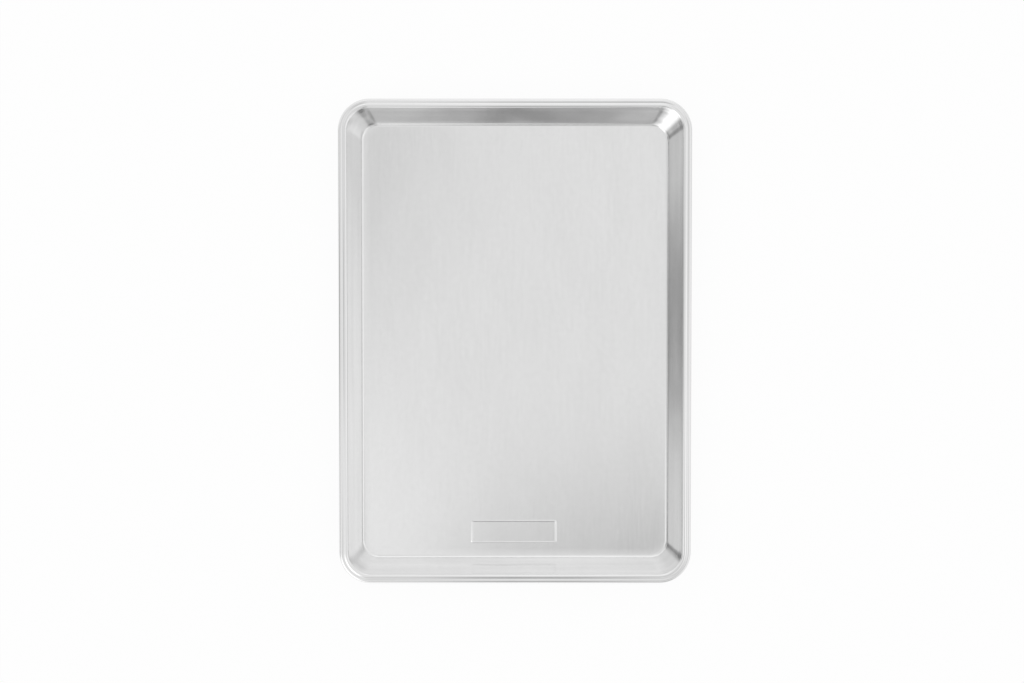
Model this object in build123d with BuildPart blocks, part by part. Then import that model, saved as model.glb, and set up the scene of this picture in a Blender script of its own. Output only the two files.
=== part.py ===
from build123d import *

import os
from math import acos, atan2, cos, degrees, hypot, radians, tan

# Rimmed baking pan: a pressed aluminium tray whose rolled rim holds a steel wire.
# The origin is in the middle of the underside, +Y runs along the pan and +Z is up.
# An inset is a distance in from the pan's outermost edge, seen from above.

# Overall size, in millimetres
pan_width = 328.0
pan_length = 450.0
pan_height = 27.0

# Pressed sheet
gauge = 1.0
wall_angle = 21.3  # degrees that a side wall leans out from upright
floor_bend_radius = 3.0  # inside the pan, where the floor turns up
floor_corner_radius = 16.3  # plan radius where a corner meets the floor
rim_corner_radius = 29.5  # plan radius of the outermost edge

# Rim, from the bead inwards
curl_end_angle = 180.0  # where the curled sheet ends, 180 degrees being towards the wall
valley_radius = 0.8  # on top of the sheet, between bead and crest
bead_to_crest = 0.85  # from the bead to the middle of the crest's outer bend
crest_flat = 0.3
crest_bend_radius = 1.2  # under the sheet, at the top of the wall

# Steel wire in the bead
wire_diameter = 3.2
wire_clearance = 0.15
wire_end_gap = 1.5

# Raised frame pressed into the floor, near one end
frame_width = 81.4
frame_length = 21.1
frame_corner_radius = 2.4
frame_setback = 24.4  # from the end of the floor to the middle of the frame
ridge_width = 1.6
ridge_height = 0.45
ridge_round = 0.4
groove_width = 0.9

# Bead: the sheet rolled down and under round the wire
curl_radius = wire_diameter / 2 + wire_clearance
bead_radius = curl_radius + gauge
bead_height = pan_height - bead_radius
bead_centre = Vector(pan_width / 2 - bead_radius, bead_height)

# Crest: the round top of the wall, as high as the bead
crest_radius = crest_bend_radius + gauge
crest_outer_inset = 2 * bead_radius + bead_to_crest
crest_inner_inset = crest_outer_inset + crest_flat
crest_centre = Vector(pan_width / 2 - crest_outer_inset, pan_height - crest_radius)

# Valley: its centre is above the sheet, where its arc meets both bends smoothly
bead_reach = bead_radius + valley_radius
crest_reach = crest_radius + valley_radius
span = crest_centre - bead_centre
span_length = hypot(span.X, span.Y)
span_cosine = (bead_reach**2 + span_length**2 - crest_reach**2) / (2 * bead_reach * span_length)
bead_turn = degrees(atan2(span.Y, span.X) - acos(span_cosine))
valley_centre = bead_centre + Vector(bead_reach, 0).rotate(Axis.Z, bead_turn)
crest_to_valley = valley_centre - crest_centre
crest_turn = degrees(atan2(crest_to_valley.Y, crest_to_valley.X))

# Wall: both its faces are straight from the floor up to the crest
run_per_rise = tan(radians(wall_angle))
sheet_run = gauge / cos(radians(wall_angle))
wall_rise = pan_height - gauge
crest_edge_inset = crest_inner_inset + crest_radius * tan(radians(90 - wall_angle) / 2)
floor_edge_inset = crest_edge_inset + wall_rise * run_per_rise
corner_growth = (rim_corner_radius - crest_edge_inset - floor_corner_radius) / wall_rise

# Frame: the middle of the frame, and the middle line of its ridge
frame_centre = (0, frame_setback + floor_edge_inset - pan_length / 2)
ridge_line_width = frame_width - ridge_width
ridge_line_length = frame_length - ridge_width
ridge_line_radius = frame_corner_radius - ridge_width / 2


def wall_outline(height, outset):
    """Draws the inside face of the wall at a height, grown by outset all round."""
    above_floor = height - gauge
    inset = floor_edge_inset - above_floor * run_per_rise - outset
    corner_radius = floor_corner_radius + above_floor * corner_growth + outset
    RectangleRounded(pan_width - 2 * inset, pan_length - 2 * inset, corner_radius)


def frame_outline(line_width):
    """Draws the frame as one closed line of a width, along the middle of its ridge."""
    with Locations(frame_centre):
        RectangleRounded(
            ridge_line_width + line_width,
            ridge_line_length + line_width,
            ridge_line_radius + line_width / 2,
        )
        RectangleRounded(
            ridge_line_width - line_width,
            ridge_line_length - line_width,
            ridge_line_radius - line_width / 2,
            mode=Mode.SUBTRACT,
        )


# Rolled rim, from the crest outwards: one quarter, mirrored twice
with BuildPart() as rolled_rim:
    with BuildSketch(Plane.XZ):
        with BuildLine():
            bead_wrap = bead_turn + curl_end_angle
            valley_wrap = bead_turn - crest_turn
            crest_wrap = 90 - crest_turn
            bead_top = CenterArc(bead_centre, bead_radius, bead_turn, -bead_wrap)
            CenterArc(valley_centre, valley_radius, bead_turn - 180, -valley_wrap)
            crest_top = CenterArc(crest_centre, crest_radius, crest_turn, crest_wrap)
            crest_under = CenterArc(crest_centre, crest_bend_radius, crest_turn, crest_wrap)
            CenterArc(valley_centre, valley_radius + gauge, bead_turn - 180, -valley_wrap)
            bead_under = CenterArc(bead_centre, curl_radius, bead_turn, -bead_wrap)
            Line(crest_top @ 1, crest_under @ 1)
            Line(bead_top @ 1, bead_under @ 1)
        make_face()
    with BuildLine(Plane.XY.offset(pan_height)):
        half_width = pan_width / 2 - crest_outer_inset
        half_length = pan_length / 2 - crest_outer_inset
        FilletPolyline(
            (half_width, 0),
            (half_width, half_length),
            (0, half_length),
            radius=rim_corner_radius - crest_outer_inset,
        )
    sweep()
    mirror(about=Plane.YZ)
    mirror(about=Plane.XZ)

# Room inside the tray
with BuildPart() as tray_inside:
    with BuildSketch(Plane.XY.offset(gauge)):
        wall_outline(gauge, 0)
    with BuildSketch(Plane.XY.offset(pan_height)):
        wall_outline(pan_height, 0)
    loft()
    fillet(tray_inside.edges().group_by(Axis.Z)[0], floor_bend_radius)

# Ridge of the frame, and the groove that the same press tool leaves under it
with BuildPart() as frame_ridge:
    with BuildSketch(Plane.XY.offset(gauge)):
        frame_outline(ridge_width)
    extrude(amount=ridge_height)
    fillet(frame_ridge.edges().group_by(Axis.Z)[-1], ridge_round)

with BuildPart() as frame_groove:
    with BuildSketch(Plane.XY):
        frame_outline(groove_width)
    extrude(amount=ridge_height)

# Pan body: floor, walls, flange and rim, all one sheet
with BuildPart() as pan_body:
    with BuildSketch(Plane.XY):
        wall_outline(0, sheet_run)
    with BuildSketch(Plane.XY.offset(wall_rise)):
        wall_outline(wall_rise, sheet_run)
    loft()
    fillet(pan_body.edges().group_by(Axis.Z)[0], floor_bend_radius + gauge)
    with BuildSketch(Plane.XY.offset(wall_rise)):
        RectangleRounded(
            pan_width - 2 * crest_outer_inset,
            pan_length - 2 * crest_outer_inset,
            rim_corner_radius - crest_outer_inset,
        )
    extrude(amount=gauge)
    add(tray_inside.part, mode=Mode.SUBTRACT)
    flange_top = pan_body.faces().filter_by(Axis.Z).sort_by(Axis.Z)[-1]
    fillet(flange_top.inner_wires()[0].edges(), crest_radius)
    flange_under = pan_body.faces().filter_by(Axis.Z).sort_by(Axis.Z)[-2]
    fillet(flange_under.inner_wires()[0].edges(), crest_bend_radius)
    add(rolled_rim.part)
    add(frame_ridge.part)
    add(frame_groove.part, mode=Mode.SUBTRACT)
pan_body.part.label = "pan_body"

# Rim wire: one length round the four corners, its ends in the middle of the far end
with BuildPart() as rim_wire:
    half_width = pan_width / 2 - bead_radius
    half_length = pan_length / 2 - bead_radius
    with BuildLine(Plane.XY.offset(bead_height)) as wire_path:
        FilletPolyline(
            (wire_end_gap / 2, half_length),
            (half_width, half_length),
            (half_width, -half_length),
            (-half_width, -half_length),
            (-half_width, half_length),
            (-wire_end_gap / 2, half_length),
            radius=rim_corner_radius - bead_radius,
        )
    with BuildSketch(Plane(origin=wire_path.line @ 0, z_dir=wire_path.line % 0)):
        Circle(wire_diameter / 2)
    sweep()
rim_wire.part.label = "rim_wire"

os.makedirs("parts", exist_ok=True)
export_step(pan_body.part, "parts/pan_body.step")
export_step(rim_wire.part, "parts/rim_wire.step")
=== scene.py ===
from math import acos, atan2, cos, pi, radians, sin, tan

import bmesh
import bpy
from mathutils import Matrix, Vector


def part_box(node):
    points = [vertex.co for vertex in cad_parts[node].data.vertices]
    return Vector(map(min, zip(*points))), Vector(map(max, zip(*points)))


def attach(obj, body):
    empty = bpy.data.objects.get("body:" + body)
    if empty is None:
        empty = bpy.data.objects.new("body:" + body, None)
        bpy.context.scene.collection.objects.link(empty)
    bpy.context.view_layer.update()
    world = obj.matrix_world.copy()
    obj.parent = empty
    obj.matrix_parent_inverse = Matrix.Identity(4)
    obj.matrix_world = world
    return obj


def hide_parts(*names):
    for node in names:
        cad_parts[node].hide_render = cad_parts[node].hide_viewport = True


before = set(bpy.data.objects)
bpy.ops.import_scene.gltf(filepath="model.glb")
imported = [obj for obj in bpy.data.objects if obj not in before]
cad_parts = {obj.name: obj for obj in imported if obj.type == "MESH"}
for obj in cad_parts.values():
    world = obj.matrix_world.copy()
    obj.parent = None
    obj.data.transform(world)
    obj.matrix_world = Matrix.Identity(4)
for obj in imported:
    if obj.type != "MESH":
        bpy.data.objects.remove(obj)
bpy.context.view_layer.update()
print("frame loaded:", ", ".join(sorted(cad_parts)))


# Small helpers

def deselectAll():
    if bpy.context.mode != "OBJECT":
        bpy.ops.object.mode_set(mode="OBJECT")
    bpy.ops.object.select_all(action="DESELECT")


def pick(piece):
    # makes one piece the active and only selected one
    deselectAll()
    piece.select_set(True)
    bpy.context.view_layer.objects.active = piece


def selectParts(piece, kind, test):
    # in edit mode, selects the vertices, edges or faces that pass the test, and nothing else
    bpy.ops.mesh.select_all(action="DESELECT")
    editMesh = bmesh.from_edit_mesh(piece.data)
    editMesh.select_mode = {kind.upper()}
    bpy.context.tool_settings.mesh_select_mode = (kind == "vert", kind == "edge", kind == "face")
    for part in {"vert": editMesh.verts, "edge": editMesh.edges, "face": editMesh.faces}[kind]:
        if test(part):
            part.select = True
    editMesh.select_flush_mode()
    bmesh.update_edit_mesh(piece.data)


def addModifier(piece, kind, **settings):
    # adds a modifier and applies it at once
    pick(piece)
    modifier = piece.modifiers.new(kind.lower(), kind)
    for name, value in settings.items():
        setattr(modifier, name, value)
    bpy.ops.object.modifier_apply(modifier=modifier.name)


# Pan: one sheet, drawn as rounded rings from the floor outwards, then given its thickness

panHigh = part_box("pan_body")[1]

pan = {
    "halfWidth": panHigh.x,
    "halfLength": panHigh.y,
    "height": panHigh.z,
    "gauge": 0.001,
    "wallAngle": radians(21.3),  # out from upright
    "floorBendRadius": 0.003,
    "floorCornerRadius": 0.0163,
    "rimCornerRadius": 0.0295,
    "beadRadius": 0.00275,
    "valleyRadius": 0.0018,  # rounder than the solid's, as rolled sheet is
    "crestRadius": 0.0022,
    "beadToCrest": 0.00085,
    "crestFlat": 0.0003,
    "floorMargin": 0.006,  # from the floor's bend to the grid in its middle
    "bendSteps": 7,
    "wallSteps": 8,
    "crestSteps": 6,
    "valleySteps": 6,
    "beadSteps": 28,
    "cornerSteps": 24,
    "sideCuts": 31,  # the same on all four sides, so that a square grid fills the floor
    "stackStep": 0.01,  # the rings are bridged this far apart, then moved to their own heights
    "waveDepth": 0.0008,  # how far the drawn walls wander, from the most inwards to the most outwards
    "waveLength": 0.035,
    "waveDetail": 1,
    "smoothAngle": radians(15),  # small enough to keep the foot of the frame's arch sharp
}

# insets of the edges where the wall's line meets the crest's top and the level floor
pan["crestInset"] = 2 * pan["beadRadius"] + pan["beadToCrest"]
bendReach = tan((pi / 2 - pan["wallAngle"]) / 2)  # of a bend into the wall, as a share of its radius
pan["crestEdge"] = pan["crestInset"] + pan["crestFlat"] + pan["crestRadius"] * bendReach
pan["floorEdge"] = pan["crestEdge"] + (pan["height"] - pan["gauge"]) * tan(pan["wallAngle"])

plate = {
    "setback": 0.0244,  # from the end of the floor to the middle of the frame
    "sideways": -0.001,  # the stamp sits a little off the middle
    "size": (0.0824, 0.0225),
    "cornerRadius": 0.0024,
    "ridgeWidth": 0.002,
    "ridgeSteps": ((0.00035, 0.00012), (0.0003, 0.00009), (0.00025, 0.00005)),  # in and up, from its foot
    "grooveWidth": 0.0009,
    "grooveDepth": 0.0003,
    "cornerSteps": 8,
    "overlap": 0.0004,  # how far each tool reaches past the face that it joins or cuts
}


def arcPoints(centre, radius, start, end, steps):
    # points after the start of an arc, as (inset from the outermost edge, height)
    turns = [start + (end - start) * (step + 1) / steps for step in range(steps)]
    return [(centre[0] + radius * cos(turn), centre[1] + radius * sin(turn)) for turn in turns]


def panSection():
    # the sheet's upper face from the floor to the curled edge, as (inset, height, corner radius)
    top = pan["height"]
    bead = Vector((pan["beadRadius"], top - pan["beadRadius"]))
    crestOut = Vector((pan["crestInset"], top - pan["crestRadius"]))
    crestIn = crestOut + Vector((pan["crestFlat"], 0))

    # the valley's arc touches both the bead and the crest
    span = crestOut - bead
    beadReach = pan["beadRadius"] + pan["valleyRadius"]
    crestReach = pan["crestRadius"] + pan["valleyRadius"]
    spanCosine = (beadReach**2 + span.length**2 - crestReach**2) / (2 * beadReach * span.length)
    beadTurn = atan2(span.y, span.x) + acos(spanCosine)
    valley = bead + beadReach * Vector((cos(beadTurn), sin(beadTurn)))
    crestTurn = atan2(valley.y - crestOut.y, valley.x - crestOut.x)

    # the bend between floor and wall touches both
    lean = pan["wallAngle"]
    bend = (pan["floorEdge"] + pan["floorBendRadius"] * bendReach, pan["gauge"] + pan["floorBendRadius"])

    inside = [(bend[0] + pan["floorMargin"], pan["gauge"]), (bend[0], pan["gauge"])]
    inside += arcPoints(bend, pan["floorBendRadius"], -pi / 2, lean - pi, pan["bendSteps"])
    wallFoot = inside[-1]
    wallTop = (crestIn.x + pan["crestRadius"] * cos(lean), crestIn.y + pan["crestRadius"] * sin(lean))
    for step in range(1, pan["wallSteps"] + 1):
        share = step / pan["wallSteps"]
        inside.append(tuple(a + (b - a) * share for a, b in zip(wallFoot, wallTop)))
    inside += arcPoints(crestIn, pan["crestRadius"], lean, pi / 2, pan["crestSteps"])
    rim = [(crestOut.x, top)]
    rim += arcPoints(crestOut, pan["crestRadius"], pi / 2, crestTurn, pan["crestSteps"])
    rim += arcPoints(valley, pan["valleyRadius"], crestTurn - pi, beadTurn - pi, pan["valleySteps"])
    rim += arcPoints(bead, pan["beadRadius"], beadTurn, 2 * pi, pan["beadSteps"])

    # a corner widens with height up the wall, and keeps one centre round the rim
    growth = (pan["rimCornerRadius"] - pan["crestEdge"] - pan["floorCornerRadius"]) / (top - pan["gauge"])
    section = []
    for inset, height in inside:
        rise = height - pan["gauge"]
        wallInset = pan["floorEdge"] - rise * tan(lean)
        section.append((inset, height, pan["floorCornerRadius"] + rise * growth + wallInset - inset))
    return section + [(inset, height, pan["rimCornerRadius"] - inset) for inset, height in rim]


def addRing(number, inset, cornerRadius):
    # one rounded ring from a plane, with the same number of vertices as every other ring
    deselectAll()
    bpy.ops.mesh.primitive_plane_add(size=2, location=(0, 0, 0))
    ring = bpy.context.object
    ring.name = f"ring{number}"
    bpy.ops.object.mode_set(mode="EDIT")
    size = (pan["halfWidth"] - inset, pan["halfLength"] - inset, 1)
    bpy.ops.transform.resize(value=size, center_override=(0, 0, 0))
    bpy.ops.mesh.bevel(offset=cornerRadius, segments=pan["cornerSteps"], affect="VERTICES")
    bpy.ops.mesh.delete(type="ONLY_FACE")
    selectParts(ring, "edge", lambda edge: edge.calc_length() > size[0])  # the four straight sides
    bpy.ops.mesh.subdivide(number_cuts=pan["sideCuts"])
    bpy.ops.mesh.select_all(action="SELECT")
    bpy.ops.transform.translate(value=(0, 0, number * pan["stackStep"]))
    bpy.ops.object.mode_set(mode="OBJECT")
    group = ring.vertex_groups.new(name=ring.name)
    group.add(range(len(ring.data.vertices)), 1, "REPLACE")
    return ring


def selectRings(piece, *numbers):
    bpy.ops.mesh.select_all(action="DESELECT")
    bpy.context.tool_settings.mesh_select_mode = (True, False, False)
    for number in numbers:
        piece.vertex_groups.active = piece.vertex_groups[f"ring{number}"]
        bpy.ops.object.vertex_group_select()
    bpy.context.tool_settings.mesh_select_mode = (False, True, False)


def waveWalls(body):
    # a drawn wall is never quite flat: it wanders most at mid height and not at all at the bends
    wander = {}
    for step in range(1, pan["wallSteps"]):
        ring = body.vertex_groups[f"ring{pan['bendSteps'] + 1 + step}"]
        wander[ring.index] = sin(pi * step / pan["wallSteps"])
    walls = body.vertex_groups.new(name="walls")
    for vertex in body.data.vertices:
        rings = [entry.group for entry in vertex.groups if entry.group in wander]
        if rings:
            walls.add([vertex.index], wander[rings[0]], "REPLACE")
    clouds = bpy.data.textures.new("wallWaves", "CLOUDS")
    clouds.noise_scale = pan["waveLength"]
    clouds.noise_depth = pan["waveDetail"]
    addModifier(body, "DISPLACE", texture=clouds, texture_coords="LOCAL", vertex_group="walls",
                strength=pan["waveDepth"])


def makeFrameBar(name, width, low, high, steps=()):
    # a closed bar along the middle of the pressed frame's line, arched by its steps
    deselectAll()
    bpy.ops.mesh.primitive_plane_add(size=2, location=(0, 0, 0))
    bar = bpy.context.object
    bar.name = name
    slack = plate["ridgeWidth"] - width
    bpy.ops.object.mode_set(mode="EDIT")
    half = [(side - slack) / 2 for side in plate["size"]]
    bpy.ops.transform.resize(value=(*half, 1), center_override=(0, 0, 0))
    corner = plate["cornerRadius"] - slack / 2
    bpy.ops.mesh.bevel(offset=corner, segments=plate["cornerSteps"], affect="VERTICES")
    bpy.ops.mesh.inset(thickness=width, use_even_offset=True)
    bpy.ops.mesh.delete(type="FACE")
    bpy.ops.mesh.select_all(action="SELECT")
    middle = pan["floorEdge"] + plate["setback"] - pan["halfLength"]
    bpy.ops.transform.translate(value=(plate["sideways"], middle, low))
    bpy.ops.mesh.extrude_region_move(TRANSFORM_OT_translate={"value": (0, 0, high - low)})
    for inwards, upwards in steps:
        bpy.ops.mesh.inset(thickness=inwards, depth=upwards, use_even_offset=True)
    bpy.ops.mesh.select_all(action="SELECT")
    bpy.ops.mesh.normals_make_consistent(inside=False)
    bpy.ops.object.mode_set(mode="OBJECT")
    return bar


def pressFrame(body):
    # the frame stands up from the floor as a low arch, with a groove under it
    tools = (
        ("UNION", makeFrameBar("ridgeTool", plate["ridgeWidth"], pan["gauge"] - plate["overlap"],
                               pan["gauge"], plate["ridgeSteps"])),
        ("DIFFERENCE", makeFrameBar("grooveTool", plate["grooveWidth"], -plate["overlap"],
                                    plate["grooveDepth"])),
    )
    for operation, tool in tools:
        addModifier(body, "BOOLEAN", operation=operation, object=tool, solver="EXACT")
        pick(tool)
        bpy.ops.object.delete()
    print("frame pressed:", len(body.data.polygons), "faces")


def makePan():
    section = panSection()
    rings = [addRing(number, inset, radius) for number, (inset, height, radius) in enumerate(section)]
    deselectAll()
    for ring in rings:
        ring.select_set(True)
    body = rings[0]
    bpy.context.view_layer.objects.active = body
    bpy.ops.object.join()
    body.name = "panSheet"
    bpy.ops.object.mode_set(mode="EDIT")
    for number in range(len(section) - 1):
        selectRings(body, number, number + 1)
        bpy.ops.mesh.bridge_edge_loops()

    # the floor's middle is a grid, begun at the middle of one corner
    selectRings(body, 0)
    bpy.context.tool_settings.mesh_select_mode = (True, False, False)
    editMesh = bmesh.from_edit_mesh(body.data)
    corner = max((v for v in editMesh.verts if v.select), key=lambda v: v.co.x + v.co.y)
    editMesh.select_history.clear()
    editMesh.select_history.add(corner)
    bmesh.update_edit_mesh(body.data)
    bpy.ops.mesh.fill_grid(span=pan["cornerSteps"] + pan["sideCuts"] + 1, offset=0)

    # the grid and each ring go to their own heights
    heights = [height for inset, height, radius in section]
    selectParts(body, "vert", lambda vert: vert.co.z < pan["stackStep"] / 2)
    bpy.ops.transform.translate(value=(0, 0, heights[0]))
    for number in range(1, len(heights)):
        selectRings(body, number)
        bpy.ops.transform.translate(value=(0, 0, heights[number] - number * pan["stackStep"]))

    bpy.ops.mesh.select_all(action="SELECT")
    bpy.ops.mesh.normals_make_consistent(inside=False)
    editMesh = bmesh.from_edit_mesh(body.data)
    middle = min(editMesh.faces, key=lambda face: face.calc_center_median().xy.length)
    if middle.normal.z < 0:
        bpy.ops.mesh.flip_normals()
    bpy.ops.object.mode_set(mode="OBJECT")
    print("pan drawn:", len(section), "rings,", len(body.data.polygons), "faces")

    waveWalls(body)
    body.vertex_groups.clear()
    addModifier(body, "SOLIDIFY", thickness=pan["gauge"], offset=-1, use_even_offset=True)
    pressFrame(body)
    pick(body)
    bpy.ops.object.shade_smooth_by_angle(angle=pan["smoothAngle"])
    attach(body, "root")
    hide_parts("pan_body")
    print("pan solid:", len(body.data.polygons), "faces")
    return body


# Wire: one length inside the bead, its ends in the middle of the far end

wire = {
    "radius": 0.0016,
    "endGap": 0.0015,
    "sides": 20,
    "bendSteps": 16,
    "weldDistance": 0.00001,
    "smoothAngle": radians(40),
}


def makeWire():
    reach = (pan["halfWidth"] - pan["beadRadius"], pan["halfLength"] - pan["beadRadius"])
    bendRadius = pan["rimCornerRadius"] - pan["beadRadius"]
    level = pan["height"] - pan["beadRadius"]
    deselectAll()
    bpy.ops.mesh.primitive_circle_add(
        vertices=wire["sides"],
        radius=wire["radius"],
        fill_type="NGON",
        location=(wire["endGap"] / 2, reach[1], level),
        rotation=(0, pi / 2, 0),
    )
    length = bpy.context.object
    length.name = "rimWire"
    bpy.ops.object.transform_apply(location=True, rotation=True, scale=True)
    bpy.ops.object.mode_set(mode="EDIT")
    half = (reach[0] - bendRadius, reach[1] - bendRadius)
    first = (half[0] - wire["endGap"] / 2, 0, 0)
    runs = [first, (0, -2 * half[1], 0), (-2 * half[0], 0, 0), (0, 2 * half[1], 0), first]
    bends = [(half[0], half[1]), (half[0], -half[1]), (-half[0], -half[1]), (-half[0], half[1])]
    for number, run in enumerate(runs):
        bpy.ops.mesh.extrude_region_move(TRANSFORM_OT_translate={"value": run})
        if number < len(bends):
            centre = (*bends[number], level)
            bpy.ops.mesh.spin(steps=wire["bendSteps"], angle=pi / 2, center=centre, axis=(0, 0, 1))
    bpy.ops.mesh.select_all(action="SELECT")
    bpy.ops.mesh.remove_doubles(threshold=wire["weldDistance"])
    bpy.ops.mesh.normals_make_consistent(inside=False)
    bpy.ops.object.mode_set(mode="OBJECT")
    bpy.ops.object.shade_smooth_by_angle(angle=wire["smoothAngle"])
    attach(length, "root")
    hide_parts("rim_wire")
    print("wire bent:", len(length.data.polygons), "faces")
    return length


# Materials

def newMaterial(name):
    material = bpy.data.materials.new(name)
    material.use_nodes = True
    return material, material.node_tree, material.node_tree.nodes["Principled BSDF"]


def addNode(tree, kind, inputs=None, **settings):
    node = tree.nodes.new(kind)
    for name, value in settings.items():
        setattr(node, name, value)
    for name, value in (inputs or {}).items():
        if isinstance(value, bpy.types.NodeSocket):
            tree.links.new(value, node.inputs[name])
        else:
            node.inputs[name].default_value = value
    return node


def scaledNoise(tree, position, scale, detail=2, roughness=0.5, turn=0):
    # noise stretched by three scales in cycles per metre, and turned about Z
    if turn:
        turned = (0, 0, radians(turn))
        position = addNode(tree, "ShaderNodeMapping", {"Vector": position, "Rotation": turned}).outputs[0]
    place = addNode(tree, "ShaderNodeMapping", {"Vector": position, "Scale": scale})
    noise = addNode(tree, "ShaderNodeTexNoise", {"Vector": place.outputs[0], "Scale": 1,
                    "Detail": detail, "Roughness": roughness})
    return noise.outputs["Fac"]


def mapRange(tree, value, low, high, toLow, toHigh):
    inputs = {"Value": value, "From Min": low, "From Max": high, "To Min": toLow, "To Max": toHigh}
    return addNode(tree, "ShaderNodeMapRange", inputs).outputs[0]


def fade(tree, value, none, full):
    # 0 at one value and 1 at the other, with a soft step between
    inputs = {"Value": value, "From Min": none, "From Max": full, "To Min": 0, "To Max": 1}
    return addNode(tree, "ShaderNodeMapRange", inputs, interpolation_type="SMOOTHSTEP").outputs[0]


def calculate(tree, operation, *values):
    return addNode(tree, "ShaderNodeMath", dict(enumerate(values)), operation=operation).outputs[0]


def addBump(tree, height, distance, normal=None):
    inputs = {"Height": height, "Distance": distance, "Strength": 1}
    if normal:
        inputs["Normal"] = normal
    return addNode(tree, "ShaderNodeBump", inputs).outputs[0]


aluminium = {
    "colour": 0.8,
    "colourChange": 0.012,
    "floorRoughness": 0.16,
    "wallRoughness": 0.1,  # the die has smoothed the drawn walls and the rim
    "roughnessChange": 0.04,
    "noiseRange": (0.3, 0.7),  # most of a noise lies between these
    "cloudScale": (28, 12, 28),  # all scales in cycles per metre
    "cloudDetail": 3,
    "grainScale": (1500, 40, 1500),  # the rolling lines run along the pan
    "grainDepth": 0.000003,
    "mottleScale": (230, 230, 230),
    "mottleShade": 0.008,
    "bandScale": (5, 5, 150),  # soft bands along the walls, left by the draw as relief; in the colour they are painted reflection streaks
    "bandDetail": 1,
    "bandDepth": 0.00009,
    # how strongly the walls' bands are painted into the colour, as painted reflection streaks
    "bandPaintedReflection": 0.025,
    "drawScale": (12, 12, 900),
    "drawDepth": 0.000006,
    "peelScale": (420, 420, 420),
    "peelDepth": 0.000003,
    "scuffTurns": (25, -50),  # degrees from the grain
    "scuffScale": (5200, 45, 5200),
    "scuffDetail": 1,
    "scuffShare": (0.66, 0.74),  # the top of the noise that counts as a scuff
    "scuffRoughness": 0.08,
    "scuffDepth": 0.000003,
    "wallStart": 0.002,  # between these two heights the floor's finish turns into the wall's
    "wallFull": 0.005,
    "bandsEnd": (0.0215, 0.0235),  # the bands and drawing lines stop below the rim
}


def makeAluminium():
    material, tree, shader = newMaterial("rolledAluminium")
    position = addNode(tree, "ShaderNodeTexCoord").outputs["Object"]
    height = addNode(tree, "ShaderNodeSeparateXYZ", {0: position}).outputs["Z"]
    onWall = mapRange(tree, height, aluminium["wallStart"], aluminium["wallFull"], 0, 1)
    onFloor = calculate(tree, "SUBTRACT", 1, onWall)
    underRim = calculate(tree, "MULTIPLY", onWall, mapRange(tree, height, *aluminium["bandsEnd"], 1, 0))
    clouds = scaledNoise(tree, position, aluminium["cloudScale"], detail=aluminium["cloudDetail"])
    grain = scaledNoise(tree, position, aluminium["grainScale"])
    mottle = scaledNoise(tree, position, aluminium["mottleScale"])
    bands = scaledNoise(tree, position, aluminium["bandScale"], detail=aluminium["bandDetail"])
    draw = scaledNoise(tree, position, aluminium["drawScale"])
    peel = scaledNoise(tree, position, aluminium["peelScale"])
    scuffs = 0
    for turn in aluminium["scuffTurns"]:
        lines = scaledNoise(tree, position, aluminium["scuffScale"],
                            detail=aluminium["scuffDetail"], turn=turn)
        scuffs = calculate(tree, "ADD", scuffs, fade(tree, lines, *aluminium["scuffShare"]))

    # colour: a clean grey that drifts a little; the grain and the mottle just show, and the walls' bands
    # add painted reflection streaks
    spread = aluminium["noiseRange"]
    change = aluminium["colourChange"]
    shade = mapRange(tree, clouds, *spread, aluminium["colour"] - change, aluminium["colour"] + change)
    patterns = (
        (grain, onFloor, change),
        (mottle, onFloor, aluminium["mottleShade"]),
        # painted reflection streaks along the walls
        (bands, underRim, aluminium["bandPaintedReflection"]),
    )
    for pattern, area, depth in patterns:
        areaShade = calculate(tree, "MULTIPLY", area, mapRange(tree, pattern, *spread, -depth, depth))
        shade = calculate(tree, "ADD", shade, areaShade)
    tree.links.new(shade, shader.inputs["Base Color"])
    shader.inputs["Metallic"].default_value = 1

    # roughness: satin floor, smoother walls, both uneven
    change = aluminium["roughnessChange"]
    rough = mapRange(tree, onWall, 0, 1, aluminium["floorRoughness"], aluminium["wallRoughness"])
    rough = calculate(tree, "ADD", rough, mapRange(tree, clouds, *spread, -change / 2, change / 2))
    rough = calculate(tree, "ADD", rough, mapRange(tree, grain, *spread, -change / 2, change / 2))
    rough = calculate(tree, "MULTIPLY_ADD", scuffs, aluminium["scuffRoughness"], rough)
    tree.links.new(rough, shader.inputs["Roughness"])

    # relief: grain on the floor, bands and drawing lines on the walls, scuffs and a fine skin over all
    layers = (
        (calculate(tree, "MULTIPLY", grain, onFloor), aluminium["grainDepth"]),
        (calculate(tree, "MULTIPLY", bands, underRim), aluminium["bandDepth"]),
        (calculate(tree, "MULTIPLY", draw, underRim), aluminium["drawDepth"]),
        (calculate(tree, "SUBTRACT", 0, scuffs), aluminium["scuffDepth"]),
        (peel, aluminium["peelDepth"]),
    )
    normal = None
    for relief, depth in layers:
        normal = addBump(tree, relief, depth, normal)
    tree.links.new(normal, shader.inputs["Normal"])
    return material


galvanised = {
    "dark": 0.5,
    "light": 0.62,
    "blue": 0.02,  # how much cooler than grey
    "roughness": (0.38, 0.55),
    "noiseRange": (0.35, 0.65),
    "mottleScale": (600, 600, 600),
    "mottleDetail": 4,
    "mottleRoughness": 0.6,
    "relief": 0.00001,
}


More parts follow.
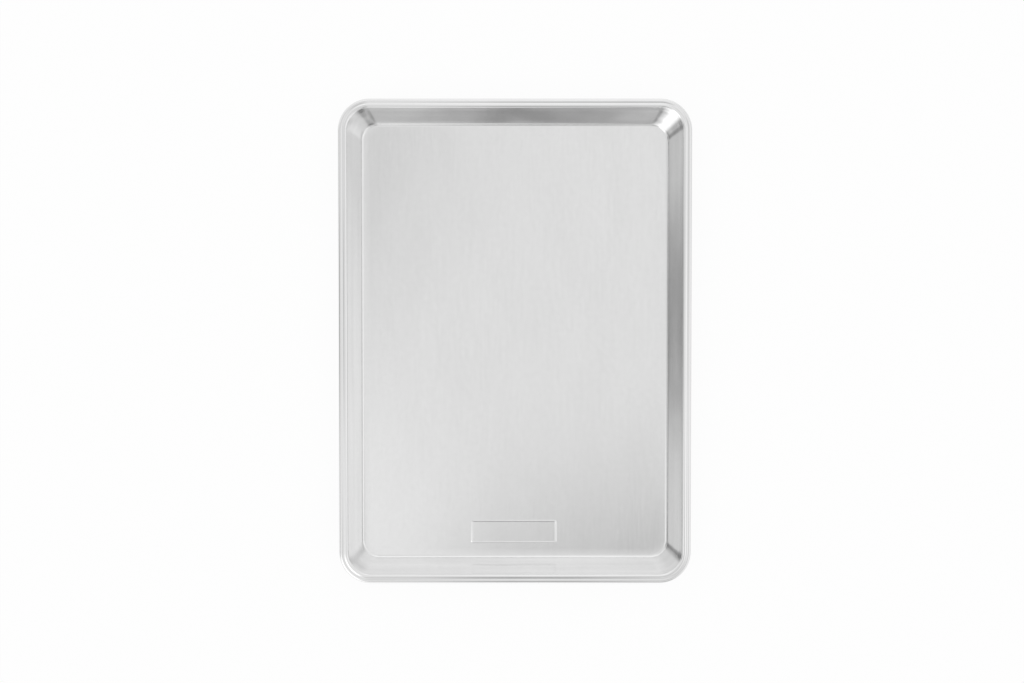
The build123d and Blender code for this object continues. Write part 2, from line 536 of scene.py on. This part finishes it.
def makeGalvanised():
    material, tree, shader = newMaterial("galvanisedSteel")
    position = addNode(tree, "ShaderNodeTexCoord").outputs["Object"]
    mottle = scaledNoise(tree, position, galvanised["mottleScale"],
                         detail=galvanised["mottleDetail"], roughness=galvanised["mottleRoughness"])
    spread = galvanised["noiseRange"]
    warm = mapRange(tree, mottle, *spread, galvanised["dark"], galvanised["light"])
    cool = calculate(tree, "ADD", warm, galvanised["blue"])
    colour = addNode(tree, "ShaderNodeCombineColor", {"Red": warm, "Green": warm, "Blue": cool}).outputs[0]
    tree.links.new(colour, shader.inputs["Base Color"])
    shader.inputs["Metallic"].default_value = 1
    tree.links.new(mapRange(tree, mottle, *spread, *galvanised["roughness"]), shader.inputs["Roughness"])
    tree.links.new(addBump(tree, mottle, galvanised["relief"]), shader.inputs["Normal"])
    return material


# Studio: a white floor, a pale sky with darker and brighter strips, and the camera

studio = {
    "floorSize": 8,
    "floorGap": 0.0001,  # keeps it clear of the pan's own underside
    "floorColour": 0.9,
    "floorShade": 0.07,  # how much of the shadow the camera sees
    "skyColour": (1, 1, 1, 1),
    "horizon": 1.0,
    "zenith": 0.9,
    "softEdge": 14,  # degrees over which a strip fades at its foot and its head
}

# each strip of sky: azimuth from +X towards +Y, half its width, its foot and head above the horizon,
# and which part of the pan mirrors it most, where far is +Y and right is +X
strips = [
    {"azimuth": 260, "halfWidth": 20, "foot": 22, "head": 54, "change": -0.22},  # far wall, left part
    {"azimuth": 273, "halfWidth": 10, "foot": 26, "head": 52, "change": -0.4},  # far wall, middle
    {"azimuth": 290, "halfWidth": 15, "foot": 12, "head": 30, "change": -0.36},  # far wall, right end
    {"azimuth": 170, "halfWidth": 20, "foot": 22, "head": 44, "change": -0.13},  # right wall, far part
    {"azimuth": 180, "halfWidth": 11, "foot": 24, "head": 44, "change": -0.38},  # right wall, middle
    {"azimuth": 225, "halfWidth": 24, "foot": 24, "head": 60, "change": 0.6},  # far right corner
    {"azimuth": 240, "halfWidth": 40, "foot": 11, "head": 24, "change": 1.0},  # far right corner
    {"azimuth": 280, "halfWidth": 38, "foot": 12, "head": 20, "change": -0.8},  # far wall, both ends
    {"azimuth": 184, "halfWidth": 28, "foot": 12, "head": 25, "change": -0.75},  # right wall, both ends
    {"azimuth": 0, "halfWidth": 35, "foot": 12, "head": 22, "change": -0.4},  # left wall, both ends
    {"azimuth": 60, "halfWidth": 40, "foot": 12, "head": 26, "change": 0.15},  # near left corner
    {"azimuth": 98, "halfWidth": 30, "foot": 24, "head": 44, "change": 0.2},  # near wall
    {"azimuth": 350, "halfWidth": 26, "foot": 24, "head": 44, "change": 0.22},  # left wall
    {"azimuth": 45, "halfWidth": 25, "foot": 24, "head": 44, "change": -0.2},  # near left corner
    {"azimuth": 45, "halfWidth": 120, "foot": 48, "head": 64, "change": 0.15},  # crest and bead
    {"azimuth": 288, "halfWidth": 45, "foot": 58, "head": 78, "change": -0.32},  # near end of the floor
    {"azimuth": 145, "halfWidth": 50, "foot": 60, "head": 82, "change": -0.16},  # far left of the floor
    {"azimuth": 230, "halfWidth": 45, "foot": 60, "head": 82, "change": 0.08},  # near left of the floor
]

cameraPlace = {
    "height": 0.825,
    "offset": (-0.0028, 0.015),
    "aim": (-0.0028, 0.0005, 0.02425),
    "roll": 0,
    "lens": 30.3,
    "sensor": 36,
    "clipStart": 0.01,
}


def makeFloor():
    deselectAll()
    bpy.ops.mesh.primitive_plane_add(size=studio["floorSize"], location=(0, 0, -studio["floorGap"]))
    floor = bpy.context.object
    floor.name = "studioFloor"
    material, tree, shader = newMaterial("whiteFloor")
    grey = studio["floorColour"]
    shader.inputs["Base Color"].default_value = (grey, grey, grey, 1)
    shader.inputs["Roughness"].default_value = 1
    shader.inputs["Specular IOR Level"].default_value = 0

    # the camera and the metal see it glow white, with a share of the shadow that falls on it
    light = addNode(tree, "ShaderNodeEmission")
    path = addNode(tree, "ShaderNodeLightPath")
    seen = calculate(tree, "MAXIMUM", path.outputs["Is Camera Ray"], path.outputs["Is Glossy Ray"])
    seen = calculate(tree, "MAXIMUM", seen, path.outputs["Is Transmission Ray"])
    share = calculate(tree, "MULTIPLY", seen, 1 - studio["floorShade"])
    mix = addNode(tree, "ShaderNodeMixShader", {0: share, 1: shader.outputs[0], 2: light.outputs[0]})

    # from below it is clear, so that the underside can be looked at
    below = addNode(tree, "ShaderNodeNewGeometry").outputs["Backfacing"]
    clear = addNode(tree, "ShaderNodeBsdfTransparent").outputs[0]
    mix = addNode(tree, "ShaderNodeMixShader", {0: below, 1: mix.outputs[0], 2: clear})
    tree.links.new(mix.outputs[0], tree.nodes["Material Output"].inputs["Surface"])
    floor.data.materials.append(material)


def softEdge(elevation):
    # the two heights between which a strip's edge fades
    half = studio["softEdge"] / 2
    return sin(radians(elevation - half)), sin(radians(elevation + half))


def makeSky():
    world = bpy.data.worlds.new("studioSky")
    bpy.context.scene.world = world
    world.use_nodes = True
    tree = world.node_tree
    place = addNode(tree, "ShaderNodeTexCoord")
    aim = place.outputs["Generated"]
    aim = addNode(tree, "ShaderNodeVectorMath", {0: aim}, operation="NORMALIZE").outputs[0]
    height = addNode(tree, "ShaderNodeSeparateXYZ", {0: aim}).outputs["Z"]
    level = addNode(tree, "ShaderNodeVectorMath", {0: aim, 1: (1, 1, 0)}, operation="MULTIPLY").outputs[0]
    level = addNode(tree, "ShaderNodeVectorMath", {0: level}, operation="NORMALIZE").outputs[0]
    sky = mapRange(tree, height, 0, 1, studio["horizon"], studio["zenith"])
    for strip in strips:
        turn = radians(strip["azimuth"])
        towards = (cos(turn), sin(turn), 0)
        along = addNode(tree, "ShaderNodeVectorMath", {0: level, 1: towards}, operation="DOT_PRODUCT")
        share = fade(tree, along.outputs["Value"], cos(radians(strip["halfWidth"])), 1)
        footLow, footHigh = softEdge(strip["foot"])
        headLow, headHigh = softEdge(strip["head"])
        foot = fade(tree, height, footLow, footHigh)
        head = fade(tree, height, headHigh, headLow)
        share = calculate(tree, "MULTIPLY", share, calculate(tree, "MULTIPLY", foot, head))
        sky = calculate(tree, "MULTIPLY_ADD", share, strip["change"], sky)
    sky = calculate(tree, "MAXIMUM", sky, 0)
    tree.links.new(sky, tree.nodes["Background"].inputs["Strength"])
    tree.nodes["Background"].inputs["Color"].default_value = studio["skyColour"]


def makeCamera():
    # it looks down with +Y up in the picture, tilted a little towards the aim
    deselectAll()
    place = Vector((*cameraPlace["offset"], cameraPlace["height"]))
    way = Vector(cameraPlace["aim"]) - place
    turn = (atan2(way.y, -way.z), atan2(-way.x, -way.z), radians(cameraPlace["roll"]))
    bpy.ops.object.camera_add(location=place, rotation=turn)
    camera = bpy.context.object
    camera.name = "photoCamera"
    camera.data.lens = cameraPlace["lens"]
    camera.data.sensor_width = cameraPlace["sensor"]
    camera.data.clip_start = cameraPlace["clipStart"]
    bpy.context.scene.camera = camera


panBody = makePan()
rimWire = makeWire()
panBody.data.materials.append(makeAluminium())
rimWire.data.materials.append(makeGalvanised())
print("materials made")
makeFloor()
makeSky()
makeCamera()
bpy.context.scene.view_settings.view_transform = "Standard"
print("studio set:", len(strips), "strips of sky")
